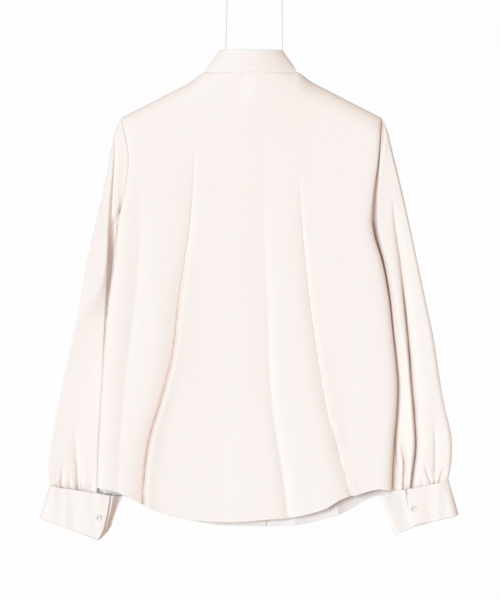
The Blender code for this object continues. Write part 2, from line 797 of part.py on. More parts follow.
def make_hanger(parts):
    look = material("hanger_finish", HANGER, 0.35, 0)
    stations = np.linspace(-BAR_HALF, BAR_HALF, 21)
    tube(parts, "hanger_bar", [(x, 0, float(bar_z(x))) for x in stations], BAR_RADIUS, look)
    turn = np.linspace(0, math.pi / 2, 7)
    inward = WIRE_CORNER * (1 - np.cos(turn))
    height = WIRE_RADIUS - WIRE_CORNER * (1 - np.sin(turn))
    left_corner = [(WIRE_LEFT_TOP - x, 0, z) for x, z in zip(inward, height)]
    right_corner = [(WIRE_RIGHT_TOP + x, 0, z) for x, z in zip(inward, height)]
    left_foot = (WIRE_LEFT_FOOT, 0, float(bar_z(WIRE_LEFT_FOOT)) + BAR_RADIUS + GAP)
    right_foot = (WIRE_RIGHT_FOOT, 0, float(bar_z(WIRE_RIGHT_FOOT)) + BAR_RADIUS + GAP)
    path = [left_foot, *left_corner, *right_corner[::-1], right_foot]
    tube(parts, "hanger_wire", path, WIRE_RADIUS, look)


def main():
    parts = collection()
    make_back(parts)
    make_fronts(parts)
    make_placket(parts)
    make_collar(parts)
    make_sleeves(parts)
    make_cuffs(parts)
    make_buttons(parts)
    make_label(parts)
    make_hanger(parts)


main()
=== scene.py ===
import math

import bmesh
import bpy
import numpy as np
from mathutils import Matrix, Vector


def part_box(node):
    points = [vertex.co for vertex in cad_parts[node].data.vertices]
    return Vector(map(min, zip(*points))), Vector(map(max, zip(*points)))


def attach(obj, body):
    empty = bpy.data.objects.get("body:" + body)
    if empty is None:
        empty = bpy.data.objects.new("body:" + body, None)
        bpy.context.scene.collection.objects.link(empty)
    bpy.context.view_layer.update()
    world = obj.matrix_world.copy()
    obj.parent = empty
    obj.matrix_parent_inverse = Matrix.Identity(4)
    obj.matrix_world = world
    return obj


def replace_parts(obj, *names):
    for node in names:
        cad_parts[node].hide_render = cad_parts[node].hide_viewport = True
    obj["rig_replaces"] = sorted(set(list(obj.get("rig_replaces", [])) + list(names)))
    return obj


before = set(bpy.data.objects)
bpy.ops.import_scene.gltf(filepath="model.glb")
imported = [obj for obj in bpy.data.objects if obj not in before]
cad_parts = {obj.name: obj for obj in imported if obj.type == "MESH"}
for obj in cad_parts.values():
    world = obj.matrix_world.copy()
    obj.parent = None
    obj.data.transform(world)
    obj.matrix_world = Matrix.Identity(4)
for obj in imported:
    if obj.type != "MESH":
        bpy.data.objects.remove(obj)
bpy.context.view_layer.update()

mm = 0.001
backSide, frontSide = 1, -1
print("frame loaded")

# Everything below is in millimetres until a mesh is made: x across, y out of the back, z up.
# Left and right are those of someone who looks at the back.


def table(columns, *rows):
    ordered = np.array(sorted(rows), float)
    return dict(zip(columns.split(), ordered.T))


def foldTable(*rows):
    return table("z x depth width tail", *rows)


def gapTable(*rows):
    return table("z x half depth", *rows)


def read(rows, column, at):  # smooth value of one column, held at the ends
    keys = next(iter(rows.values()))
    values = rows[column]
    slopes = np.gradient(values, keys)
    at = np.clip(at, keys[0], keys[-1])
    i = np.clip(np.searchsorted(keys, at) - 1, 0, len(keys) - 2)
    span = keys[i + 1] - keys[i]
    t = (at - keys[i]) / span
    start = (2 * t**3 - 3 * t**2 + 1) * values[i] + (t**3 - 2 * t**2 + t) * span * slopes[i]
    end = (3 * t**2 - 2 * t**3) * values[i + 1] + (t**3 - t**2) * span * slopes[i + 1]
    return start + end


def rounded(t):
    return np.sqrt(1 - (1 - np.clip(t, 0, 1)) ** 2)


def blunt(t):
    return (1 - (1 - np.clip(t, 0, 1)) ** 4) ** 0.25


def eased(t):
    t = np.clip(t, 0, 1)
    return t * t * (3 - 2 * t)


def lobe(t, rise, fall):
    return rounded(t / rise) * rounded((1 - t) / fall)


def lowerOf(a, b, blend):
    h = np.clip(0.5 + (b - a) / (2 * blend), 0, 1)
    return b + (a - b) * h - blend * h * (1 - h)


def mix(a, b, t):
    return a + (b - a) * t


def drape(folds, x, z, soft=0.12):
    # folds with a sharp valley: width is how far the left side reaches, the right one tail times that
    total = np.zeros(np.broadcast(x, z).shape)
    for fold in folds:
        off = x - read(fold, "x", z)
        width = read(fold, "width", z)
        across = np.where(off > 0, off / width, off / (width * read(fold, "tail", z)))
        total = total + read(fold, "depth", z) * np.exp(soft - np.sqrt(across**2 + soft**2))
    return total


def gap(fold, x, z):  # a fold with a flat floor between steep walls
    across = (x - read(fold, "x", z)) / read(fold, "half", z)
    return read(fold, "depth", z) * np.exp(-(across**4))


def lip(fold, x, z, start=3.0):  # cloth that stands up beside a fold and sinks away to its right
    off = read(fold, "x", z) - x
    long = read(fold, "long", z)
    return read(fold, "rise", z) * eased(off / start) * np.exp(-np.maximum(off, 0) / long)


def limp(x, z, long, seed):  # slow uneven waves of hanging cloth, stretched downwards
    a = np.sin(x / long * 6.3 + 1.7 * np.sin(z / (3.1 * long) + seed) + seed)
    b = np.sin(x / long * 3.9 - z / (2.3 * long) + 2.1 * seed)
    c = np.sin(x / long * 9.1 + z / (4.7 * long) + 0.6 * seed + 1.3 * np.sin(z / (1.9 * long)))
    return (a + b + 0.6 * c) / 2.6


# The body's outline, hems, depths and hanging folds
edges = table(
    "z left right",
    (-187.4, 184.6, -186), (-197.4, 183, -184.8), (-220, 177.5, -183.2),
    (-242.8, 173.8, -181.2), (-262.7, 174.7, -178.6), (-282.6, 177.5, -175.6),
    (-312.4, 183.6, -172.6), (-333, 188.6, -172), (-352, 191, -174.6),
    (-393, 194.6, -186.4), (-441.6, 201, -195.6), (-490, 206.2, -201),
    (-532.5, 209.5, -205.5), (-566.6, 212, -208), (-603.5, 214.2, -207),
    (-646, 216.6, -203.5), (-688.7, 218.4, -201), (-722, 219.4, -200.2),
)
backHem = table(
    "x z",
    (219.4, -713.6), (183.2, -722.8), (156.2, -737.6), (140.6, -744.8), (100.8, -756.9),
    (54, -762.5), (11.4, -762.3), (-21.3, -759.5), (-52.5, -757.4), (-88, -749.8),
    (-108, -743), (-126.4, -731.8), (-150.5, -724.2), (-183.2, -716.2), (-200.2, -718.6),
)
frontHem = table(
    "x z",
    (219.4, -717.6), (183.2, -727.4), (156.2, -739.6), (140.6, -746.8), (100.8, -759),
    (44, -769), (1.4, -770.4), (-55.4, -769.6), (-105, -760.4), (-140.6, -746.9),
    (-169, -731.8), (-200.2, -723.5),
)
depths = table(
    "z back front",
    (-125, 19, 24), (-200, 18, 24), (-320, 17, 20),
    (-450, 18, 19), (-600, 20, 19), (-695, 20, 18.5), (-735, 18, 12),
    (-770, 15, 7),
)
folds = {
    backSide: (
        foldTable(
            (-126.6, 66, 0, 9, 0.7), (-231.5, 79, 0, 9, 0.7), (-339.4, 86, 3.5, 9, 0.5),
            (-447, 102.2, 7, 9.5, 0.4), (-532.5, 113, 9, 10, 0.3), (-589, 127.8, 10.5, 10.5, 0.25),
            (-646, 144.8, 12, 11, 0.25), (-702.9, 152.7, 13, 11.5, 0.25), (-745, 154.7, 13, 11.5, 0.25),
        ),
        foldTable(
            (-126.6, -15.6, 0, 16, 0.8), (-362, -20, 1.5, 12, 0.8), (-447, -24, 2.5, 10, 0.7),
            (-589, -29.8, 3.5, 9, 0.7), (-702.9, -46.9, 5, 8, 0.7), (-765, -55, 6, 8, 0.7),
        ),
        foldTable(
            (-126.6, -66, 0, 8, 0.7), (-240, -66.7, 0, 8, 0.7), (-362, -75, 2.5, 8, 0.5),
            (-447, -83.8, 5, 8, 0.4), (-532.5, -96, 6, 8.5, 0.3), (-589, -105.8, 7, 8.5, 0.3),
            (-646, -119.5, 7.5, 8, 0.3), (-702.9, -136.3, 8, 7.5, 0.3), (-730, -143, 8, 7.5, 0.3),
        ),
        foldTable(
            (-260, 156, 0, 14, 1.2), (-400, 160, 3, 13, 1.2), (-600, 182, 3, 12, 1.2),
            (-725, 190, 2.5, 12, 1.2),
        ),
    ),
    frontSide: (
        foldTable(
            (-126.6, 66, 0, 9, 1.6), (-260, 66, 0, 9, 1.6), (-420, 80, 4, 10, 1.6), (-600, 104, 9, 10, 1.6),
            (-770, 118, 13, 9, 1.6),
        ),
        foldTable(
            (-126.6, -66, 0, 9, 1.6), (-280, -72, 0, 9, 1.6), (-430, -92, 4, 10, 1.6),
            (-610, -112, 8, 10, 1.6), (-770, -124, 12, 9, 1.6),
        ),
        foldTable(
            (-126.6, -38, 0, 12, 1.6), (-300, -38, 0, 12, 1.6), (-500, -48, 4, 13, 1.6),
            (-770, -62, 7, 12, 1.6),
        ),
        foldTable(
            (-126.6, 36, 0, 12, 1.6), (-340, 34, 0, 12, 1.6), (-560, 42, 4, 12, 1.6),
            (-770, 56, 6, 12, 1.6),
        ),
    ),
}
backCreases = (  # the sharp bottoms of the two long folds, and the cloth that stands up beside them
    table(
        "z x half depth rise long", (-231.5, 79, 1.8, 0, 0, 10), (-339.4, 85, 2.2, 2.5, 2, 11),
        (-447, 100.8, 2.6, 5, 5, 12), (-532.5, 111.4, 2.8, 6.5, 7, 13), (-589, 126.2, 3, 7, 8, 13),
        (-646, 143.2, 3, 7.5, 8.5, 13), (-702.9, 150.9, 3, 8, 8.5, 13), (-745, 152.9, 3, 8, 8.5, 13),
    ),
    table(
        "z x half depth rise long", (-260, -67.6, 1.8, 0, 0, 6), (-362, -76, 2, 1.5, 1.2, 6),
        (-447, -85.2, 2.3, 3, 2.4, 6), (-532.5, -97.6, 2.5, 4, 3.4, 6.5),
        (-589, -107.6, 2.6, 4.5, 3.8, 6.5), (-646, -121.3, 2.6, 5, 4.2, 7),
        (-702.9, -138.1, 2.6, 5, 4.4, 7), (-730, -144.8, 2.6, 5, 4.4, 7),
    ),
)
body = {
    "seam": 0.62, "neckHalf": 66.0, "neckZ": -126.6, "slope": 0.512, "shoulderRound": 34.0,
    "backRise": 2.3, "frontDrop": 64.0, "sideRound": 28.0,
    "ridgeHalf": 90.0, "cornerRise": 2.6, "cornerOff": 3.0, "cornerHalf": 11.0,
    "swell": 9.0, "swellReach": 75.0, "swellDrop": 90.0,
    "shoulderZ": -187.4, "underarmZ": -335.0, "armholeOpen": 11.0, "foldInset": 14.0,
    "wall": 0.9, "hem": 7.0, "hemSwell": 0.35,
    "rumple": 0.5, "rumpleLong": 62.0, "looseDown": 30.0, "looseOver": 200.0, "looseInset": 30.0,
    "shutX": 206.0, "shutHalf": 20.0, "shutZ": -696.0, "shutOver": 18.0, "shutShare": 0.75,
}


def neckArch(x):
    return np.sqrt(np.clip(1 - (x / body["neckHalf"]) ** 2, 0, 1))


def shoulderLine(x):
    out = np.maximum(np.abs(x) - body["neckHalf"], 0)
    off = (np.abs(x) - body["neckHalf"] - body["cornerOff"]) / body["cornerHalf"]
    return body["neckZ"] - body["slope"] * out + body["cornerRise"] * np.exp(-(off**2))


def ridge(x):
    return shoulderLine(x) + body["shoulderRound"] * np.clip(1 - (x / body["ridgeHalf"]) ** 2, 0, 1) ** 2


def neckTop(side, x):
    rise = body["backRise"] * neckArch(x) ** 2 if side == backSide else -body["frontDrop"] * neckArch(x)
    return shoulderLine(x) + rise


def leftEdge(z):
    return read(edges, "left", z)


def rightEdge(z):
    return read(edges, "right", z)


def armholeY(z):  # the armhole's edge stands open between the shoulder and the underarm
    down = np.clip((body["shoulderZ"] - z) / (body["shoulderZ"] - body["underarmZ"]), 0, 1)
    return body["seam"] + body["armholeOpen"] * lobe(down, 0.5, 0.5)


def bodyDepth(side, x, z):
    seam = body["seam"]
    inset = np.minimum(leftEdge(z) - x, x - rightEdge(z))
    high = (x / body["swellReach"]) ** 2 + ((z - body["neckZ"]) / body["swellDrop"]) ** 2
    depth = read(depths, "back" if side == backSide else "front", z) + body["swell"] * np.exp(-high)
    edge = armholeY(z)
    y = edge + (depth - edge) * blunt(inset / body["sideRound"])
    y = seam + (y - seam) * rounded((ridge(x) - z) / body["shoulderRound"])
    y = y - drape(folds[side], x, z) * eased(inset / body["foldInset"])
    if side == backSide:
        for crease in backCreases:
            y = y + lip(crease, x, z) - gap(crease, x, z)
    else:  # the front comes up to the back at the hem's left corner
        near = np.exp(-(((x - body["shutX"]) / body["shutHalf"]) ** 2))
        low = eased((body["shutZ"] - z) / body["shutOver"])
        y = seam + (y - seam) * (1 - body["shutShare"] * near * low)
    loose = eased((body["neckZ"] - body["looseDown"] - z) / body["looseOver"])
    loose = loose * eased(inset / body["looseInset"])
    y = y + body["rumple"] * limp(x, z, body["rumpleLong"], 1.3 * side) * loose
    return side * y


def clothLook(name, tint, weave=1.0, through=None):
    made = bpy.data.materials.new(name)
    made.use_nodes = True
    tree = made.node_tree
    new, link = tree.nodes.new, tree.links.new
    shader = tree.nodes["Principled BSDF"]
    shader.inputs["Sheen Weight"].default_value = 0.08
    shader.inputs["Sheen Roughness"].default_value = 0.5
    shader.inputs["Specular IOR Level"].default_value = 0.2
    woven = new("ShaderNodeGroup")
    woven.node_tree = weaveGroup
    woven.inputs["Tint"].default_value = (*tint, 1)
    woven.inputs["Weave"].default_value = weave
    bump = new("ShaderNodeBump")
    bump.inputs["Strength"].default_value = 0.5
    bump.inputs["Distance"].default_value = 0.0001
    colour = woven.outputs["Colour"]
    if through:
        colour = through(tree, colour)
    link(colour, shader.inputs["Base Color"])
    link(woven.outputs["Roughness"], shader.inputs["Roughness"])
    link(woven.outputs["Height"], bump.inputs["Height"])
    link(bump.outputs["Normal"], shader.inputs["Normal"])
    return made


def makeWeaveGroup():
    group = bpy.data.node_groups.new("clothWeave", "ShaderNodeTree")
    face = group.interface
    face.new_socket("Tint", in_out="INPUT", socket_type="NodeSocketColor")
    face.new_socket("Weave", in_out="INPUT", socket_type="NodeSocketFloat")
    face.new_socket("Colour", in_out="OUTPUT", socket_type="NodeSocketColor")
    face.new_socket("Roughness", in_out="OUTPUT", socket_type="NodeSocketFloat")
    face.new_socket("Height", in_out="OUTPUT", socket_type="NodeSocketFloat")
    new, link = group.nodes.new, group.links.new
    taken, given = new("NodeGroupInput"), new("NodeGroupOutput")
    cloth = new("ShaderNodeUVMap")
    cloth.uv_map = "cloth"

    def waves(direction):  # threads one way, 0.85 mm apart
        threads = new("ShaderNodeTexWave")
        threads.wave_type = "BANDS"
        threads.bands_direction = direction
        threads.inputs["Scale"].default_value = 370.0
        threads.inputs["Distortion"].default_value = 0.6
        threads.inputs["Detail"].default_value = 1.0
        link(cloth.outputs["UV"], threads.inputs["Vector"])
        return threads.outputs["Fac"]

    crossed = new("ShaderNodeMath")
    crossed.operation = "MAXIMUM"
    link(waves("X"), crossed.inputs[0])
    link(waves("Y"), crossed.inputs[1])
    slubs = new("ShaderNodeMapping")  # thicker threads that run across
    slubs.inputs["Scale"].default_value = (14.0, 1500.0, 1.0)
    link(cloth.outputs["UV"], slubs.inputs["Vector"])
    uneven = new("ShaderNodeTexNoise")
    uneven.inputs["Scale"].default_value = 1.0
    uneven.inputs["Detail"].default_value = 2.0
    link(slubs.outputs["Vector"], uneven.inputs["Vector"])
    crepe = new("ShaderNodeTexNoise")  # the grainy face of the cloth
    crepe.inputs["Scale"].default_value = 900.0
    crepe.inputs["Detail"].default_value = 2.0
    link(cloth.outputs["UV"], crepe.inputs["Vector"])
    weaveHeight = new("ShaderNodeMath")
    weaveHeight.operation = "MULTIPLY_ADD"
    link(crossed.outputs[0], weaveHeight.inputs[0])
    link(taken.outputs["Weave"], weaveHeight.inputs[1])
    link(crepe.outputs["Fac"], weaveHeight.inputs[2])
    height = new("ShaderNodeMath")
    height.operation = "ADD"
    link(weaveHeight.outputs[0], height.inputs[0])
    link(uneven.outputs["Fac"], height.inputs[1])
    link(height.outputs[0], given.inputs["Height"])
    shade = new("ShaderNodeMapRange")
    shade.inputs["From Min"].default_value = 0.3
    shade.inputs["From Max"].default_value = 0.7
    shade.inputs["To Min"].default_value = 0.988
    shade.inputs["To Max"].default_value = 1.006
    link(uneven.outputs["Fac"], shade.inputs["Value"])
    colour = new("ShaderNodeVectorMath")
    colour.operation = "SCALE"
    link(taken.outputs["Tint"], colour.inputs[0])
    link(shade.outputs["Result"], colour.inputs["Scale"])
    link(colour.outputs["Vector"], given.inputs["Colour"])
    rough = new("ShaderNodeMapRange")
    rough.inputs["To Min"].default_value = 0.68
    rough.inputs["To Max"].default_value = 0.86
    link(crepe.outputs["Fac"], rough.inputs["Value"])
    link(rough.outputs["Result"], given.inputs["Roughness"])
    return group


def within(tree, value, middle, half, soft):  # 1 inside a band of one coordinate, 0 outside it
    new, link = tree.nodes.new, tree.links.new
    away = new("ShaderNodeMath")
    away.operation = "SUBTRACT"
    link(value, away.inputs[0])
    away.inputs[1].default_value = middle
    size = new("ShaderNodeMath")
    size.operation = "ABSOLUTE"
    link(away.outputs[0], size.inputs[0])
    band = new("ShaderNodeMapRange")
    band.interpolation_type = "SMOOTHSTEP"
    band.inputs["From Min"].default_value = half - soft
    band.inputs["From Max"].default_value = half + soft
    band.inputs["To Min"].default_value = 1.0
    band.inputs["To Max"].default_value = 0.0
    link(size.outputs[0], band.inputs["Value"])
    return band.outputs["Result"]


def labelShowsThrough(tree, colour):  # the label behind the thin cloth
    new, link = tree.nodes.new, tree.links.new
    where = new("ShaderNodeTexCoord")
    apart = new("ShaderNodeSeparateXYZ")
    link(where.outputs["Object"], apart.inputs["Vector"])
    middleZ = body["neckZ"] - labelSet["top"] - labelSet["long"] / 2
    both = new("ShaderNodeMath")
    both.operation = "MULTIPLY"
    soft = labelSet["soft"] * mm
    acrossLabel = within(tree, apart.outputs["X"], labelSet["x"] * mm, labelSet["wide"] / 2 * mm, soft)
    downLabel = within(tree, apart.outputs["Z"], middleZ * mm, labelSet["long"] / 2 * mm, soft)
    link(acrossLabel, both.inputs[0])
    link(downLabel, both.inputs[1])
    paler = new("ShaderNodeMix")
    paler.data_type = "RGBA"
    link(both.outputs[0], paler.inputs["Factor"])
    link(colour, paler.inputs[6])
    paler.inputs[7].default_value = (*labelSet["through"], 1)
    return paler.outputs[2]


weaveGroup = makeWeaveGroup()
labelSet = {
    "wide": 18.0, "long": 41.0, "x": 3.6, "top": 0.0, "wall": 0.6, "behind": 1.4, "soft": 0.6,
    "through": (0.957, 0.833, 0.762), "colour": (0.96, 0.88, 0.82),
}
cream = (0.935, 0.81, 0.733)
clothMaterial = clothLook("creamCloth", cream)
backMaterial = clothLook("creamClothBack", cream, through=labelShowsThrough)


def plainLook(name, colour, roughness):
    made = bpy.data.materials.new(name)
    made.use_nodes = True
    tree = made.node_tree
    new, link = tree.nodes.new, tree.links.new
    shader = tree.nodes["Principled BSDF"]
    where = new("ShaderNodeTexCoord")
    mottle = new("ShaderNodeTexNoise")
    mottle.inputs["Scale"].default_value = 160.0
    mottle.inputs["Detail"].default_value = 4.0
    tint = new("ShaderNodeMapRange")
    tint.inputs["To Min"].default_value = 0.95
    tint.inputs["To Max"].default_value = 1.03
    scaled = new("ShaderNodeVectorMath")
    scaled.operation = "SCALE"
    scaled.inputs[0].default_value = colour
    rough = new("ShaderNodeMapRange")
    rough.inputs["To Min"].default_value = roughness * 0.85
    rough.inputs["To Max"].default_value = roughness * 1.15
    link(where.outputs["Object"], mottle.inputs["Vector"])
    link(mottle.outputs["Fac"], tint.inputs["Value"])
    link(mottle.outputs["Fac"], rough.inputs["Value"])
    link(tint.outputs["Result"], scaled.inputs["Scale"])
    link(scaled.outputs["Vector"], shader.inputs["Base Color"])
    link(rough.outputs["Result"], shader.inputs["Roughness"])
    return made


def stations(*stops):  # shares from 0 to 1, with so many steps up to each stop
    values = [0.0]
    for stop, count in stops:
        values += list(np.linspace(values[-1], stop, count + 1)[1:])
    return np.array(values)


def finish(name, bm, look, wall=0.0):
    mesh = bpy.data.meshes.new(name)
    bm.to_mesh(mesh)
    bm.free()
    mesh.shade_smooth()
    mesh.materials.append(look)
    piece = bpy.data.objects.new(name, mesh)
    bpy.context.scene.collection.objects.link(piece)
    if wall:
        solid = piece.modifiers.new("wall", "SOLIDIFY")
        solid.thickness = wall * mm
        solid.offset = 0
    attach(piece, "root")
    return piece


def clothSheet(name, place, columns, rows, size, wall, look, closed=False):
    # a grid whose every point is moved to its place on the cloth, with the weave's map kept flat
    bm = bmesh.new()
    bmesh.ops.create_grid(bm, x_segments=len(columns) - 1, y_segments=len(rows) - 1, size=0.5)
    u = np.interp([v.co.x + 0.5 for v in bm.verts], np.linspace(0, 1, len(columns)), columns)
    w = np.interp([0.5 - v.co.y for v in bm.verts], np.linspace(0, 1, len(rows)), rows)
    cloth = bm.loops.layers.uv.new("cloth")
    for face in bm.faces:
        for loop in face.loops:
            i = loop.vert.index
            loop[cloth].uv = (u[i] * size[0], -w[i] * size[1])
    for v, spot in zip(bm.verts, np.stack(np.broadcast_arrays(*place(u, w)), -1) * mm):
        v.co = spot
    if closed:
        bmesh.ops.remove_doubles(bm, verts=bm.verts, dist=2e-6)
    return finish(name, bm, look, wall)


def threads(name, place, paths, lift, pitch=3.0, length=2.2, thick=0.19):
    # a row of stitches along lines (u, w) on a piece of cloth
    bm = bmesh.new()
    for u, w in paths:
        line = np.stack(np.broadcast_arrays(*place(u, w)), -1)
        along = np.concatenate([[0], np.cumsum(np.linalg.norm(np.diff(line, axis=0), axis=1))])
        for at in np.arange(pitch / 2, along[-1], pitch):
            share = np.interp(at, along, np.arange(len(u)))
            i = min(int(share), len(u) - 2)
            su, sw = (float(np.interp(share, np.arange(len(u)), values)) for values in (u, w))
            spot = np.array([float(value) for value in place(np.array(su), np.array(sw))])
            nudgeU = np.array([float(value) for value in place(np.array(su + 1e-3), np.array(sw))]) - spot
            nudgeW = np.array([float(value) for value in place(np.array(su), np.array(sw + 1e-3))]) - spot
            out = Vector(np.cross(nudgeU, nudgeW)).normalized() * (1 if lift > 0 else -1)
            run = Vector(line[i + 1] - line[i]).normalized()
            side = out.cross(run).normalized()
            turn = Matrix((run, side, out)).transposed().to_4x4()
            turn.translation = (Vector(spot) + out * abs(lift)) * mm
            shape = Matrix.Diagonal((length / 2 * mm, thick * mm, thick * mm, 1))
            bmesh.ops.create_icosphere(bm, subdivisions=1, radius=1, matrix=turn @ shape)
    piece = finish(name, bm, threadMaterial)
    return piece


def turnedHem(d, width, swell):  # the doubled edge, and the dip that its stitches pull
    step, dip, dipHalf = 1.2, 0.9, 0.9
    return swell * (eased((width - d) / step + 0.5) - dip * np.exp(-(((d - width) / dipHalf) ** 2)))


threadMaterial = plainLook("creamThread", (0.93, 0.84, 0.77), 0.6)
print("materials made")

# Body panels
panelSet = {
    "columns": stations((0.004, 3), (0.02, 5), (0.09, 14), (0.91, 240), (0.98, 14), (0.996, 5), (1, 3)),
    "halfColumns": stations((0.008, 3), (0.04, 5), (0.18, 14), (0.97, 84), (1, 8)),
    "rows": stations((0.012, 6), (0.07, 12), (0.975, 104), (1, 16)),
    "lapHalf": 15.0, "lapStart": 12.0, "lapRamp": 10.0, "ply": 1.35,
    "centreDrift": -7.0, "centreDrop": 640.0, "hemNearZ": -720.0,
}


def centreX(z):
    return panelSet["centreDrift"] * np.clip((body["neckZ"] - z) / panelSet["centreDrop"], 0, 1)


def underEdge(z):
    return centreX(z) - panelSet["lapHalf"]


def overEdge(z):
    return centreX(z) + panelSet["lapHalf"]


def panelPlace(side, start, end, depth):
    hem = backHem if side == backSide else frontHem
    topStart, topEnd = start(body["shoulderZ"]), end(body["shoulderZ"])
    lowStart, lowEnd = start(panelSet["hemNearZ"]), end(panelSet["hemNearZ"])

    def ends(u):
        topZ = neckTop(side, mix(topStart, topEnd, u))
        lowZ = read(hem, "z", mix(lowStart, lowEnd, u))
        return topZ, lowZ

    def place(u, w):
        topZ, lowZ = ends(u)
        z = mix(topZ, lowZ, w)
        x = mix(start(z), end(z), u)
        swell = turnedHem(z - lowZ, body["hem"], body["hemSwell"])
        return x, depth(x, z) + side * swell, z

    def hemLine(u, up):  # a line so far above the hem
        topZ, lowZ = ends(u)
        return u, 1 - up / (topZ - lowZ)

    def topLine(u, down):
        topZ, lowZ = ends(u)
        return u, down / (topZ - lowZ)

    return place, hemLine, topLine


def overDepth(x, z):
    ramp = eased((x - underEdge(z) + panelSet["lapStart"]) / panelSet["lapRamp"])
    return bodyDepth(frontSide, x, z) - panelSet["ply"] * ramp


backPlace, backHemLine, backTopLine = panelPlace(
    backSide, leftEdge, rightEdge, lambda x, z: bodyDepth(backSide, x, z))
backPanel = clothSheet("backPanel", backPlace, panelSet["columns"], panelSet["rows"],
                       (0.5, 0.66), body["wall"], backMaterial)
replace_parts(backPanel, "back")
run = np.linspace(0.004, 0.996, 400)
neckRun = np.linspace(0.325, 0.68, 160)
backThreads = threads("backThreads", backPlace,
                      [backHemLine(run, body["hem"]), backTopLine(neckRun, 4.0)], 0.5)
print("back made")

underPlace, underHemLine, _ = panelPlace(
    frontSide, leftEdge, underEdge, lambda x, z: bodyDepth(frontSide, x, z))
frontLeft = clothSheet("frontLeft", underPlace, panelSet["halfColumns"], panelSet["rows"],
                       (0.27, 0.66), body["wall"], clothMaterial)
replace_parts(frontLeft, "front_left")
overPlace, overHemLine, _ = panelPlace(frontSide, rightEdge, overEdge, overDepth)
frontRight = clothSheet("frontRight", overPlace, panelSet["halfColumns"], panelSet["rows"],
                        (0.27, 0.66), body["wall"], clothMaterial)
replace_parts(frontRight, "front_right")
frontThreadsLeft = threads("frontThreadsLeft", underPlace, [underHemLine(run, body["hem"])], -0.5)
frontThreadsRight = threads("frontThreadsRight", overPlace, [overHemLine(run, body["hem"])], -0.5)
print("fronts made")

# Button band on the front
placketSet = {
    "half": 14.5, "stitchIn": 2.5, "pinch": 0.22, "pinchHalf": 0.9,
    "columns": stations((1, 22)), "rows": stations((1, 150)),
}


def placketPlace(u, w):
    across = mix(placketSet["half"], -placketSet["half"], u)
    top = neckTop(frontSide, across)
    low = read(frontHem, "z", across + panelSet["centreDrift"])
    z = mix(top, low, w)
    x = centreX(z) + across
    offStitch = (np.abs(across) - placketSet["half"] + placketSet["stitchIn"]) / placketSet["pinchHalf"]
    return x, overDepth(x, z) - panelSet["ply"] + placketSet["pinch"] * np.exp(-(offStitch**2)), z


placket = clothSheet("placket", placketPlace, placketSet["columns"], placketSet["rows"],
                     (0.029, 0.6), 1.1, clothMaterial)
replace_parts(placket, "front_placket")
downRun = np.linspace(0.004, 0.996, 300)
inset = placketSet["stitchIn"] / (2 * placketSet["half"])
placketThreads = threads("placketThreads", placketPlace,
                         [(np.full(300, inset), downRun), (np.full(300, 1 - inset), downRun)], -0.62)
print("placket made")

# Stand collar
collarSet = {
    "topHalf": 48.0, "sideZ": -98.5, "backZ": -92.5, "frontDrop": 62.0, "backY": 27.0, "frontY": 36.0,
    "tall": 34.0, "wall": 1.3, "tuck": 1.3, "sink": 2.2, "bow": 1.1, "pinch": 0.35, "pinchHalf": 0.9,
    "backShare": 0.45, "lapReach": 1.6, "stitchDown": 5.0,
    "columns": stations((1, 230)), "rows": stations((0.12, 4), (0.88, 18), (1, 5)),
}


def collarPlace(u, w):  # u runs round from the front, w from the seam up
    reach = math.asin(panelSet["lapHalf"] / body["neckHalf"]) / (2 * math.pi)
    turn = mix(-reach, 1 + reach, u)
    side = -np.sin(2 * math.pi * turn)
    back = -np.cos(2 * math.pi * turn)
    behind = back > 0
    seamX = body["neckHalf"] * side
    seamZ = np.where(behind, neckTop(backSide, seamX), neckTop(frontSide, seamX))
    seamY = np.where(behind, bodyDepth(backSide, seamX, seamZ), bodyDepth(frontSide, seamX, seamZ))
    tuck = collarSet["tuck"]
    lowX = (body["neckHalf"] - tuck) * side
    lowY = seamY - tuck * back
    lowZ = seamZ - collarSet["sink"] * np.abs(back) ** 0.5 + tuck * (1 - np.abs(back))
    topX = collarSet["topHalf"] * side
    topY = np.where(behind, collarSet["backY"], collarSet["frontY"]) * back
    fall = np.where(behind, 0, collarSet["frontDrop"] * np.abs(back))
    topZ = mix(collarSet["sideZ"], collarSet["backZ"], eased(back / collarSet["backShare"])) - fall
    lap = eased(collarSet["lapReach"] - (turn + reach) / reach)
    bow = collarSet["bow"] * np.sin(math.pi * w)  # the band rounds outwards a little between its edges
    offStitch = ((1 - w) * collarSet["tall"] - collarSet["stitchDown"]) / collarSet["pinchHalf"]
    bow = bow - collarSet["pinch"] * np.exp(-(offStitch**2))
    x = mix(lowX, topX, w) + bow * side
    y = mix(lowY, topY, w) + bow * back - 2 * panelSet["ply"] * lap
    return x, y, mix(lowZ, topZ, w)


collar = clothSheet("collarBand", collarPlace, collarSet["columns"], collarSet["rows"],
                    (0.4, 0.034), collarSet["wall"], clothMaterial)
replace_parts(collar, "collar")
ring = np.linspace(0.01, 0.99, 400)
topStitch = np.full(400, 1 - collarSet["stitchDown"] / collarSet["tall"])
collarThreads = threads("collarThreads", collarPlace, [(ring, topStitch)], 0.72)
print("collar made")

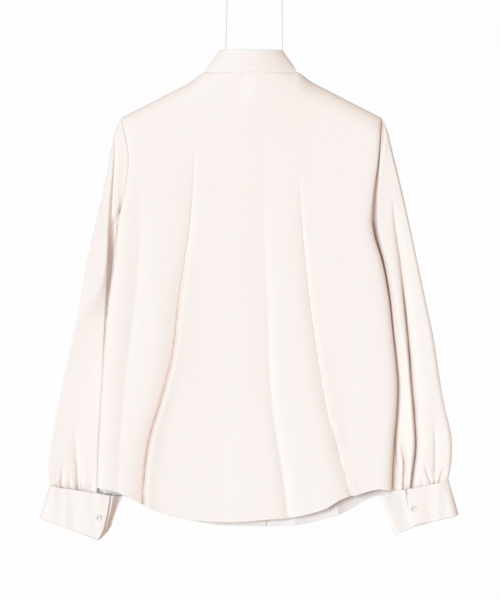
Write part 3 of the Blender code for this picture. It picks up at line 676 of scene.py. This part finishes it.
# Sleeves: sections from the armhole to the cuff
# own: 0 where the sleeve follows the armhole's seam, 1 where it has its own section
section = "s outerX outerZ innerX innerZ back front midOut midIn own"
sleeves = {
    "left": table(
        section,
        (0, 185.8, -188.4, 188.2, -336, 11, -11, 0, 0, 0),
        (1, 194, -206, 188.8, -343, 12, -14, 0, -8, 0.35),
        (2, 199.5, -234, 186.8, -353, 13, -18, 3, -15, 0.7),
        (3, 205, -268, 184.5, -367, 13, -23, 5, -21, 0.92),
        (4, 213, -306, 182.5, -388, 12, -27, 6, -25, 1),
        (5, 224, -353, 179.5, -420, 11, -32, 6, -31, 1),
        (6, 235, -403, 175, -458, 9, -35, 5, -33, 1),
        (7, 244.5, -456, 171, -500, 7, -37, 3, -34, 1),
        (8, 255, -507, 168, -543, 6, -38, 2, -34, 1),
        (9, 265.5, -553, 167, -587, 6, -38, 2, -34, 1),
        (10, 274.5, -600, 168, -629, 6, -38, 2, -34, 1),
        (11, 282.8, -643, 172, -667, 6, -38, 2, -34, 1),
        (12, 288.3, -680, 179, -699, 7, -37, 2, -32, 1),
        (13, 286.3, -710.8, 185, -726.2, 8, -34, 3, 0, 1),
    ),
    "right": table(
        section,
        (0, -187.2, -188.6, -170.6, -335.5, 11, -11, 0, 0, 0),
        (1, -195, -207, -172, -343, 11, -14, 0, -8, 0.35),
        (2, -201, -234, -171.8, -353, 11, -18, 3, -15, 0.7),
        (3, -209, -268, -173, -367, 11, -23, 5, -21, 0.92),
        (4, -218, -307, -177, -390, 11, -27, 6, -25, 1),
        (5, -229, -357, -178.5, -422, 11, -32, 7, -31, 1),
        (6, -239.5, -407, -178, -460, 11, -35, 7, -33, 1),
        (7, -250, -457, -174, -502, 11, -37, 7, -34, 1),
        (8, -260, -505, -172, -545, 11, -38, 7, -34, 1),
        (9, -267, -552, -172, -589, 11, -38, 7, -34, 1),
        (10, -275, -598, -172, -630, 11, -38, 7, -34, 1),
        (11, -284.5, -639, -174, -667, 10, -38, 6, -34, 1),
        (12, -285.5, -672, -179, -697, 9, -37, 5, -32, 1),
        (13, -280.8, -703.6, -183, -723, 8, -34, 4, -22, 1),
    ),
}
sleeveFolds = {
    ("left", backSide): (
        foldTable(
            (-622, 252, 0, 3, 1.2), (-660, 250, 2.5, 3, 1.2), (-690, 247.5, 5, 2.4, 1.1),
            (-716, 247, 6, 1.6, 1),
        ),
        foldTable((-683, 268.5, 0, 2.2, 1), (-700, 269, 3, 1.8, 1), (-716, 271, 4, 1.5, 1)),
        foldTable((-690, 241, 0, 1.8, 1), (-716, 242, 4, 1.5, 1)),
        foldTable((-700, 258, 0, 1.8, 1), (-716, 258.5, 2.5, 1.5, 1)),
        foldTable((-704, 227, 0, 1.8, 1), (-720, 227.5, 2.5, 1.5, 1)),
    ),
    ("left", frontSide): (
        foldTable(
            (-300, 205, 0, 6, 1.4), (-420, 214, 12, 6.5, 1.4), (-600, 236, 16, 7, 1.4),
            (-700, 244, 9, 6, 1.4),
        ),
        foldTable((-640, 262, 0, 3, 1.2), (-716, 264, 4, 2, 1.2)),
        foldTable((-650, 216, 0, 3, 1.2), (-720, 212, 4, 2, 1.2)),
    ),
    ("right", backSide): (
        foldTable(
            (-300, -201, 0, 2.6, 2), (-348, -206.6, 6, 2.4, 2), (-390.5, -212.6, 9, 2.2, 2),
            (-447.3, -218.6, 10, 2, 2.4), (-504, -224.6, 10, 1.8, 2.6), (-561, -229.4, 10, 1.6, 3.2),
            (-617.7, -234.4, 10, 1.6, 3), (-660, -235.4, 10, 1.8, 3), (-688.7, -232.4, 10, 2.2, 2),
            (-716, -229, 9, 2.4, 1.2),
        ),
        foldTable(
            (-634, -215, 0, 1.8, 1.4), (-652, -214, 4, 1.7, 1.4), (-676, -218.3, 12, 1.6, 1.4),
            (-700, -218, 12, 1.6, 1.4), (-716, -217.5, 9, 1.7, 1.4),
        ),
        foldTable(
            (-618, -203.5, 0, 1.6, 1.4), (-652, -204.5, 4, 1.6, 1.4), (-680, -207.5, 5, 1.6, 1.4),
            (-722, -207, 5, 1.6, 1.4),
        ),
        foldTable((-674, -224.5, 0, 1.6, 1.2), (-716, -223, 6, 1.8, 1.2)),
        foldTable((-620, -261.5, 0, 2.2, 1.2), (-655, -262.5, 3.5, 1.8, 1.2), (-706, -261.5, 5, 1.6, 1.2)),
        foldTable((-676, -246, 0, 1.8, 1.2), (-694, -251.5, 3.5, 1.6, 1.2), (-710, -257, 3.5, 1.5, 1.2)),
        foldTable((-684, -277, 0, 1.8, 1.2), (-692, -273, 3.5, 1.6, 1.2), (-706, -268, 4, 1.5, 1.2)),
        foldTable((-690, -242, 0, 1.8, 1.2), (-712, -243, 4, 1.5, 1.2)),
    ),
    ("right", frontSide): (
        foldTable(
            (-300, -207, 0, 6, 1.4), (-430, -220, 11, 6.5, 1.4), (-600, -240, 15, 7, 1.4),
            (-700, -240, 9, 6, 1.4),
        ),
        foldTable((-640, -262, 0, 3, 1.2), (-712, -262, 4, 2, 1.2)),
        foldTable((-650, -212, 0, 3, 1.2), (-720, -208, 4, 2, 1.2)),
    ),
}
sleeveGaps = {
    "left": (
        gapTable(
            (-180, 192, 1.2, 0), (-215, 192.4, 1.8, 1.5), (-249, 193.2, 2.2, 3), (-305, 196, 3.6, 7),
            (-348, 198.1, 4.2, 10), (-390, 199.8, 3.7, 13), (-420, 202.2, 2.8, 11), (-447, 204.9, 2, 8),
            (-504, 208.7, 1.2, 4), (-550, 211, 1, 0),
        ),
    ),
    "right": (
        gapTable(
            (-180, -184, 1.2, 0), (-220, -182.2, 2, 5), (-248.5, -180.6, 2.5, 7), (-277, -178.2, 2.9, 8),
            (-305, -175.8, 3.3, 9), (-333.7, -175.6, 3.6, 9), (-348, -176.8, 3.5, 9),
            (-362, -179.4, 3.2, 8), (-390, -187.2, 2.2, 6), (-447, -197.6, 1.6, 2), (-504, -202, 1.4, 0),
        ),
        gapTable(
            (-400, -213, 1, 0), (-447.3, -218.2, 1.8, 5), (-504, -223.8, 2.2, 8), (-561, -228.6, 2.5, 11),
            (-617.7, -233.4, 2.6, 12), (-660, -234.8, 2.5, 11), (-688.7, -231.6, 2.5, 10),
            (-716, -228.4, 2.2, 8),
        ),
    ),
}
nearBody = {  # how far the sleeve stays behind the body's side, and how steeply it rises away from it
    "left": table(
        "z clear slope", (-187, 2, 1.4), (-300, 2.2, 1.4), (-360, 2.2, 1.2), (-420, 2, 0.8),
        (-470, 1.7, 0.2), (-520, 1.5, 0.1), (-726, 1.5, 0.1),
    ),
    "right": table(
        "z clear slope", (-187, 3, 1.6), (-260, 4, 2), (-330, 5, 2), (-400, 3.5, 1.8), (-460, 2, 1.4),
        (-510, 1.5, 1), (-550, 1.5, 0.6), (-726, 1.5, 0.6),
    ),
}
sleeveSet = {
    "columns": stations((1, 300)),
    "rows": stations((0.01, 4), (0.06, 8), (0.88, 62), (0.985, 26), (1, 5)),
    "fromArmhole": {"left": 1.0, "right": 0.0}, "seam": 0.7, "ease": 0.8, "easeStart": 0.78,
    "easeRamp": 0.12, "tuckShare": 0.01, "tuck": 1.2, "freeRise": 60.0, "freeOver": 4.0, "gapRamp": 0.006,
    "roundOut": 0.06, "roundIn": 0.3, "blend": 1.5, "hollow": 3.0, "wall": 0.9,
    "rumple": 0.7, "rumpleLong": 46.0, "gathers": 46, "gatherDepth": 1.5, "gatherReach": 34.0,
    "puff": 1.3, "puffUp": 5.0, "puffLong": 4.0,
    "endShare": 0.985, "endDrop": 3.2, "endInset": 1.1,
}


def wristGathers(which, t, near):  # uneven tucks where the sleeve is drawn into the cuff
    seeded = np.random.default_rng(11 if which == "left" else 23)
    total = np.zeros(np.broadcast(t, near).shape)
    for k in range(sleeveSet["gathers"]):
        at = (k + 0.5 + seeded.uniform(-0.3, 0.3)) / sleeveSet["gathers"]
        reach = seeded.uniform(0.35, 1.0)
        deep = seeded.uniform(0.45, 1.3)
        wide = seeded.uniform(0.2, 0.34) / sleeveSet["gathers"]
        gone = np.clip((near - 1 + reach) / reach, 0, 1)
        total = total + deep * gone**1.6 * np.exp(-(((t - at) / (wide * (1.6 - 0.6 * near))) ** 2))
    return sleeveSet["gatherDepth"] * total


def sleevePlace(which):
    rows = sleeves[which]
    edge = leftEdge if which == "left" else rightEdge
    out = 1 if which == "left" else -1

    def place(t, w):
        s = w * rows["s"][-1]
        angle = 2 * math.pi * t
        u = (1 - np.cos(angle)) / 2
        back = angle < math.pi
        seamZ = mix(rows["outerZ"][0], rows["innerZ"][0], u)
        ease = sleeveSet["ease"] * eased((u - sleeveSet["easeStart"]) / sleeveSet["easeRamp"])
        seamX = edge(seamZ) + out * (sleeveSet["seam"] + ease)
        bow = seamX - mix(rows["outerX"][0], rows["innerX"][0], u)
        own = read(rows, "own", s)
        x = mix(read(rows, "outerX", s), read(rows, "innerX", s), u) + bow * (1 - own)
        z = mix(read(rows, "outerZ", s), read(rows, "innerZ", s), u)
        middle = mix(read(rows, "midOut", s), read(rows, "midIn", s), u)
        outside = out * (x - edge(z))
        side = mix(-body["seam"], armholeY(z), sleeveSet["fromArmhole"][which])
        # the sleeve's back stays behind the body, as far down as the hems
        limit = np.where(outside < 0, bodyDepth(frontSide, x, z), side) - read(nearBody[which], "clear", z)
        limit = limit + read(nearBody[which], "slope", z) * np.maximum(outside, 0)
        belowHems = np.minimum(read(backHem, "z", x), read(frontHem, "z", x)) - z
        limit = limit + sleeveSet["freeRise"] * eased(belowHems / sleeveSet["freeOver"])
        full = lobe(u, sleeveSet["roundOut"], sleeveSet["roundIn"])
        loose = sleeveSet["rumple"] * limp(x, z, sleeveSet["rumpleLong"], 2.2 * out) * own
        rear = lowerOf(mix(middle, read(rows, "back", s) + loose, full), limit, sleeveSet["blend"])
        rear = rear - drape(sleeveFolds[which, backSide], x, z) * full
        fore = read(rows, "front", s) + drape(sleeveFolds[which, frontSide], x, z) + loose
        fore = lowerOf(mix(middle, fore, full), rear - sleeveSet["hollow"] * full, 1.0)
        seamY = np.where(back, bodyDepth(backSide, edge(seamZ), seamZ),
                         bodyDepth(frontSide, edge(seamZ), seamZ))
        y = mix(seamY, np.where(back, rear, fore), own)
        facing = np.where(back, 1, -1)
        for fold in sleeveGaps[which]:
            y = y - np.where(back, gap(fold, x, z) * eased(w / sleeveSet["gapRamp"]), 0)
        up = z - mix(rows["outerZ"][-1], rows["innerZ"][-1], u)
        tuck = wristGathers(which, t, np.clip(1 - up / sleeveSet["gatherReach"], 0, 1))
        puff = sleeveSet["puff"] * np.exp(-(((up - sleeveSet["puffUp"]) / sleeveSet["puffLong"]) ** 2))
        y = y + facing * (puff - tuck) * full
        start = 1 - eased(w / sleeveSet["tuckShare"])  # under the body's edge
        end = eased((w - sleeveSet["endShare"]) / (1 - sleeveSet["endShare"]))  # into the cuff
        x = x - out * sleeveSet["tuck"] * start + out * np.cos(angle) * -sleeveSet["endInset"] * end
        y = y - facing * (sleeveSet["tuck"] * start + sleeveSet["endInset"] * end * full)
        return x, y, z - sleeveSet["endDrop"] * end

    return place


for which in ("left", "right"):
    place = sleevePlace(which)
    handed = which.capitalize()
    sleeve = clothSheet(f"sleeve{handed}", place, sleeveSet["columns"], sleeveSet["rows"],
                        (0.34, 0.52), sleeveSet["wall"], clothMaterial, closed=True)
    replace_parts(sleeve, f"sleeve_{which}")
    print("sleeve made:", which)

# Cuffs: sections from the gathered seam down to the open end
# facet: the share of the width beyond the flap's free edge; slit: how deep the cleft beside it is
cuffColumns = "s outerX outerZ innerX innerZ back front midOut midIn facet slit"
cuffs = {
    "left": table(
        cuffColumns,
        (0, 286.8, -711.8, 184.6, -727.4, 9, -35, 3, -6, 0.155, 3),
        (1, 293.5, -734.6, 196.8, -757.6, 11, -37, 4, -6, 0.09, 3),
        (1.6, 297.6, -748.4, 203.6, -776.2, 11.5, -37.5, 4, -5, 0.075, 3),
        (2, 300.3, -757.6, 214.6, -787.6, 12, -38, 4, -3, 0.03, 2),
    ),
    "right": table(
        cuffColumns,
        (0, -281.2, -704.6, -182.6, -724.2, 9, -35, 4, -22, 0.4, 6),
        (1, -288.3, -729, -194.5, -751, 11, -37, 3, -16, 0.33, 1.5),
        (2, -295.4, -753.3, -207, -784.4, 12, -38, 2, -12, 0.27, 0),
    ),
}
cuffSet = {
    "columns": stations((0.02, 6), (0.18, 16), (0.27, 14), (0.36, 60), (0.5, 60), (1, 60)),
    "rows": stations((0.08, 4), (0.2, 5), (0.8, 12), (0.92, 5), (0.97, 3), (1, 5)),
    "wall": 1.2, "rumple": 0.9, "rumpleLong": 24.0, "pucker": 0.25, "puckerShare": 0.1, "puckers": 31,
    "puckerDrift": 9, "pinch": 0.3, "pinchHalf": 1.0, "notch": {"left": -2.0, "right": 6.5},
    "roundOut": 0.1, "roundIn": {"left": 0.05, "right": 0.1}, "slitHalf": 0.014, "curl": 1.6,
    "curlShare": 0.035, "stitchIn": 0.1, "height": 50.0,
    "flapLift": 1.2, "liftShare": 0.5, "flapSink": 1.2, "sinkShare": 0.2, "flapShare": 0.3,
}


def cuffPlace(which, sunk=1.0):
    rows = cuffs[which]

    def place(t, w):
        s = w * rows["s"][-1]
        angle = 2 * math.pi * t
        u = (1 - np.cos(angle)) / 2
        x = mix(read(rows, "outerX", s), read(rows, "innerX", s), u)
        facetShare = read(rows, "facet", s)
        crease = np.minimum(u / (1 - facetShare), (1 - u) / facetShare)
        z = mix(read(rows, "outerZ", s), read(rows, "innerZ", s), u) + cuffSet["notch"][which] * w * crease
        drift = np.sin(cuffSet["puckerDrift"] * math.pi * t)
        waves = np.sin(2 * math.pi * (cuffSet["puckers"] * t + drift))
        z = z + cuffSet["pucker"] * waves * np.clip(1 - w / cuffSet["puckerShare"], 0, 1)
        middle = mix(read(rows, "midOut", s), read(rows, "midIn", s), u)
        full = lobe(u, cuffSet["roundOut"], cuffSet["roundIn"][which])
        past = u - 1 + facetShare  # beyond the free edge of the flap
        facet = eased((1 - u) / facetShare)
        dents = cuffSet["rumple"] * limp(x, z, cuffSet["rumpleLong"], 3.1)
        rear = mix(middle, read(rows, "back", s) + dents, full * mix(1, facet, sunk))
        rear = rear - sunk * read(rows, "slit", s) * np.exp(-((past / cuffSet["slitHalf"] - 0.8) ** 4)) * full
        fore = mix(middle, read(rows, "front", s) + dents, full)
        offStitch = (np.minimum(w, 1 - w) - cuffSet["stitchIn"]) * cuffSet["height"] / cuffSet["pinchHalf"]
        pinch = cuffSet["pinch"] * np.exp(-(offStitch**2)) * full
        atEdge = eased((w - 1) / cuffSet["curlShare"] + 1)
        pinch = pinch + cuffSet["curl"] * atEdge**2 * full
        return x, np.where(angle < math.pi, rear - pinch, fore + pinch), z

    return place


def flapPlace(which):  # the end of the cuff that laps over, from a hidden start to its free edge
    rows = cuffs[which]
    under = cuffPlace(which, sunk=0.0)

    def place(q, w):
        edge = 1 - read(rows, "facet", w * rows["s"][-1])
        u = edge - (1 - q) * cuffSet["flapShare"]
        t = np.arccos(1 - 2 * np.clip(u, 0, 1)) / (2 * math.pi)
        x, y, z = under(t, w)
        lift = cuffSet["flapLift"] * eased(q / cuffSet["liftShare"])
        sink = cuffSet["flapSink"] * (1 - eased(q / cuffSet["sinkShare"]))
        return x, y + lift - sink, z

    return place


for which in ("left", "right"):
    place = cuffPlace(which)
    handed = which.capitalize()
    cuff = clothSheet(f"cuff{handed}", place, cuffSet["columns"], cuffSet["rows"],
                      (0.22, 0.05), cuffSet["wall"], clothMaterial, closed=True)
    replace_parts(cuff, f"cuff_{which}")
    flap = clothSheet(f"cuffFlap{handed}", flapPlace(which), stations((1, 30)), stations((1, 26)),
                      (0.04, 0.05), 1.0, clothMaterial)
    ring = np.linspace(0.002, 0.998, 500)
    cuffThreads = threads(f"cuffThreads{handed}", place, [
        (ring, np.full(500, cuffSet["stitchIn"])), (ring, np.full(500, 1 - cuffSet["stitchIn"]))], 0.85)
print("cuffs made")


# Buttons
buttonSet = {"radius": 4.5, "thick": 2.2, "dish": 2.9, "hole": 0.55, "holeAt": 0.95,
             "colour": (0.92, 0.85, 0.79)}


def pearlLook():
    made = bpy.data.materials.new("buttonPearl")
    made.use_nodes = True
    tree = made.node_tree
    new, link = tree.nodes.new, tree.links.new
    shader = tree.nodes["Principled BSDF"]
    shader.inputs["Coat Weight"].default_value = 0.4
    shader.inputs["Coat Roughness"].default_value = 0.12
    where = new("ShaderNodeTexCoord")
    cloudy = new("ShaderNodeTexNoise")
    cloudy.inputs["Scale"].default_value = 420.0
    cloudy.inputs["Detail"].default_value = 3.0
    cloudy.inputs["Distortion"].default_value = 1.5
    tint = new("ShaderNodeValToRGB")
    tint.color_ramp.elements[0].position = 0.35
    tint.color_ramp.elements[0].color = (0.8, 0.71, 0.65, 1)
    tint.color_ramp.elements[1].position = 0.65
    tint.color_ramp.elements[1].color = (*buttonSet["colour"], 1)
    gloss = new("ShaderNodeMapRange")
    gloss.inputs["To Min"].default_value = 0.16
    gloss.inputs["To Max"].default_value = 0.34
    link(where.outputs["Object"], cloudy.inputs["Vector"])
    link(cloudy.outputs["Fac"], tint.inputs["Fac"])
    link(cloudy.outputs["Fac"], gloss.inputs["Value"])
    link(tint.outputs["Color"], shader.inputs["Base Color"])
    link(gloss.outputs["Result"], shader.inputs["Roughness"])
    return made


pearl = pearlLook()


def buttonMesh(bm, turn):  # a turned disc with a dished middle
    radius, thick = buttonSet["radius"], buttonSet["thick"]
    profile = [(0, -thick / 2), (radius - 0.6, -thick / 2), (radius, -thick / 2 + 0.6),
               (radius, thick / 2 - 0.5), (radius - 0.35, thick / 2 - 0.08), (radius - 0.9, thick / 2),
               (buttonSet["dish"], thick / 2 - 0.1), (buttonSet["dish"] - 0.7, thick / 2 - 0.75),
               (0, thick / 2 - 0.8)]
    points = [bm.verts.new((r, 0, h)) for r, h in profile]
    lines = [bm.edges.new(pair) for pair in zip(points, points[1:])]
    bmesh.ops.spin(bm, geom=points + lines, cent=(0, 0, 0), axis=(0, 0, 1), angle=2 * math.pi,
                   steps=32, use_merge=True, use_duplicate=False)
    bmesh.ops.remove_doubles(bm, verts=bm.verts, dist=1e-4)
    bmesh.ops.recalc_face_normals(bm, faces=bm.faces)
    bmesh.ops.transform(bm, matrix=turn, verts=bm.verts)


def makeButton(name, node, facing):
    low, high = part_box(node)
    centre = (low + high) / 2
    turn = Matrix.Translation(centre) @ Matrix.Rotation(-facing * math.pi / 2, 4, "X") @ Matrix.Scale(mm, 4)
    bm = bmesh.new()
    buttonMesh(bm, turn)
    piece = finish(name, bm, pearl)
    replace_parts(piece, node)
    bm = bmesh.new()
    top = buttonSet["thick"] / 2 - 0.72
    for a in (45, 135, 225, 315):  # painted shade: dark discs mark the four thread openings, the button itself is not pierced
        spot = Matrix.Rotation(math.radians(a), 4, "Z") @ Matrix.Translation((buttonSet["holeAt"], 0, top))
        bmesh.ops.create_cone(bm, cap_ends=True, segments=14, radius1=buttonSet["hole"],
                              radius2=buttonSet["hole"], depth=0.12, matrix=turn @ spot)
    holeShade = finish(f"{name}HoleShade", bm, holeShadeMaterial)
    bm = bmesh.new()
    for a in (45, 135):  # crossed thread
        bar = Matrix.Rotation(math.radians(a), 4, "Z") @ Matrix.Translation((0, 0, top + 0.14))
        shape = Matrix.Diagonal((buttonSet["holeAt"] + 0.2, 0.22, 0.2, 1))
        bmesh.ops.create_icosphere(bm, subdivisions=2, radius=1, matrix=turn @ bar @ shape)
    thread = finish(f"{name}Thread", bm, threadMaterial)


# dark paint that stands in for the shade inside the button's thread openings
holeShadeMaterial = plainLook("buttonHolePaintedShade", (0.25, 0.2, 0.17), 0.8)
makeButton("collarButton", "collar_button", frontSide)
for i in range(1, 7):
    makeButton(f"frontButton{i}", f"front_button_{i}", frontSide)
makeButton("cuffButtonLeft", "cuff_button_left", backSide)
makeButton("cuffButtonRight", "cuff_button_right", backSide)
print("buttons made")

# Blank label inside the back
def labelPlace(u, w):
    x = labelSet["x"] + (0.5 - u) * labelSet["wide"]
    z = body["neckZ"] - labelSet["top"] - labelSet["long"] * w
    return x, bodyDepth(backSide, x, z) - labelSet["behind"], z


label = clothSheet("neckLabel", labelPlace, stations((1, 16)), stations((1, 36)),
                   (0.018, 0.041), labelSet["wall"], clothLook("labelSatin", labelSet["colour"], 0.4))
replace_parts(label, "neck_label")

# Hanger
hangerMaterial = plainLook("hangerPaint", (0.96, 0.89, 0.84), 0.6)
for name in ("hanger_bar", "hanger_wire"):
    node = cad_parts[name]
    node.data.materials.clear()
    node.data.materials.append(hangerMaterial)
print("hanger finished")

# Floor, light and camera
stageSet = {"floorZ": -1.45, "floorRadius": 2.4, "floor": (0.93, 0.92, 0.93), "wall": (1.0, 0.996, 0.998),
            "sky": (1.26, 1.0, 0.78), "skyStrength": 0.42, "wallStrength": 0.99}
bm = bmesh.new()
bmesh.ops.create_circle(bm, cap_ends=True, segments=96, radius=stageSet["floorRadius"],
                        matrix=Matrix.Translation((0, 0, stageSet["floorZ"])))
floorMesh = bpy.data.meshes.new("floor")
bm.to_mesh(floorMesh)
bm.free()
floor = bpy.data.objects.new("floor", floorMesh)
bpy.context.scene.collection.objects.link(floor)
floorMesh.materials.append(plainLook("floorPaint", stageSet["floor"], 0.7))

world = bpy.data.worlds.new("studio")
bpy.context.scene.world = world
world.use_nodes = True
sky = world.node_tree
around = sky.nodes["Background"]
around.inputs["Color"].default_value = (*stageSet["sky"], 1)
around.inputs["Strength"].default_value = stageSet["skyStrength"]
wall = sky.nodes.new("ShaderNodeBackground")  # the white wall that the camera sees
wall.inputs["Color"].default_value = (*stageSet["wall"], 1)
wall.inputs["Strength"].default_value = stageSet["wallStrength"]
seen = sky.nodes.new("ShaderNodeLightPath")
chosen = sky.nodes.new("ShaderNodeMixShader")
sky.links.new(seen.outputs["Is Camera Ray"], chosen.inputs[0])
sky.links.new(around.outputs["Background"], chosen.inputs[1])
sky.links.new(wall.outputs["Background"], chosen.inputs[2])
sky.links.new(chosen.outputs["Shader"], sky.nodes["World Output"].inputs["Surface"])

sunSet = {"angle": 20.0, "strength": 2.14, "colour": (0.76, 1.045, 1.28)}
for name, aim in (("keyLight", (0.62, 1.5, 0.14)), ("frontLight", (0.5, -1.5, 0.3))):
    lamp = bpy.data.lights.new(name, "SUN")
    lamp.angle = math.radians(sunSet["angle"])
    lamp.energy = sunSet["strength"]
    lamp.color = sunSet["colour"]
    holder = bpy.data.objects.new(name, lamp)
    holder.location = aim
    holder.rotation_euler = Vector(aim).to_track_quat("Z", "Y").to_euler()
    bpy.context.scene.collection.objects.link(holder)
bpy.context.scene.view_settings.view_transform = "Standard"
bpy.context.scene.view_settings.look = "None"

cameraSet = {"distance": 3.2, "x": 0.00142, "z": -0.4473, "high": 0.852}
lens = bpy.data.cameras.new("camera")
lens.sensor_width = 36
lens.lens = 36 * cameraSet["distance"] / cameraSet["high"]
eye = bpy.data.objects.new("camera", lens)
eye.location = (cameraSet["x"], cameraSet["distance"] + 0.015, cameraSet["z"])
eye.rotation_euler = (math.pi / 2, 0, math.pi)
bpy.context.scene.collection.objects.link(eye)
bpy.context.scene.camera = eye
print("stage set")
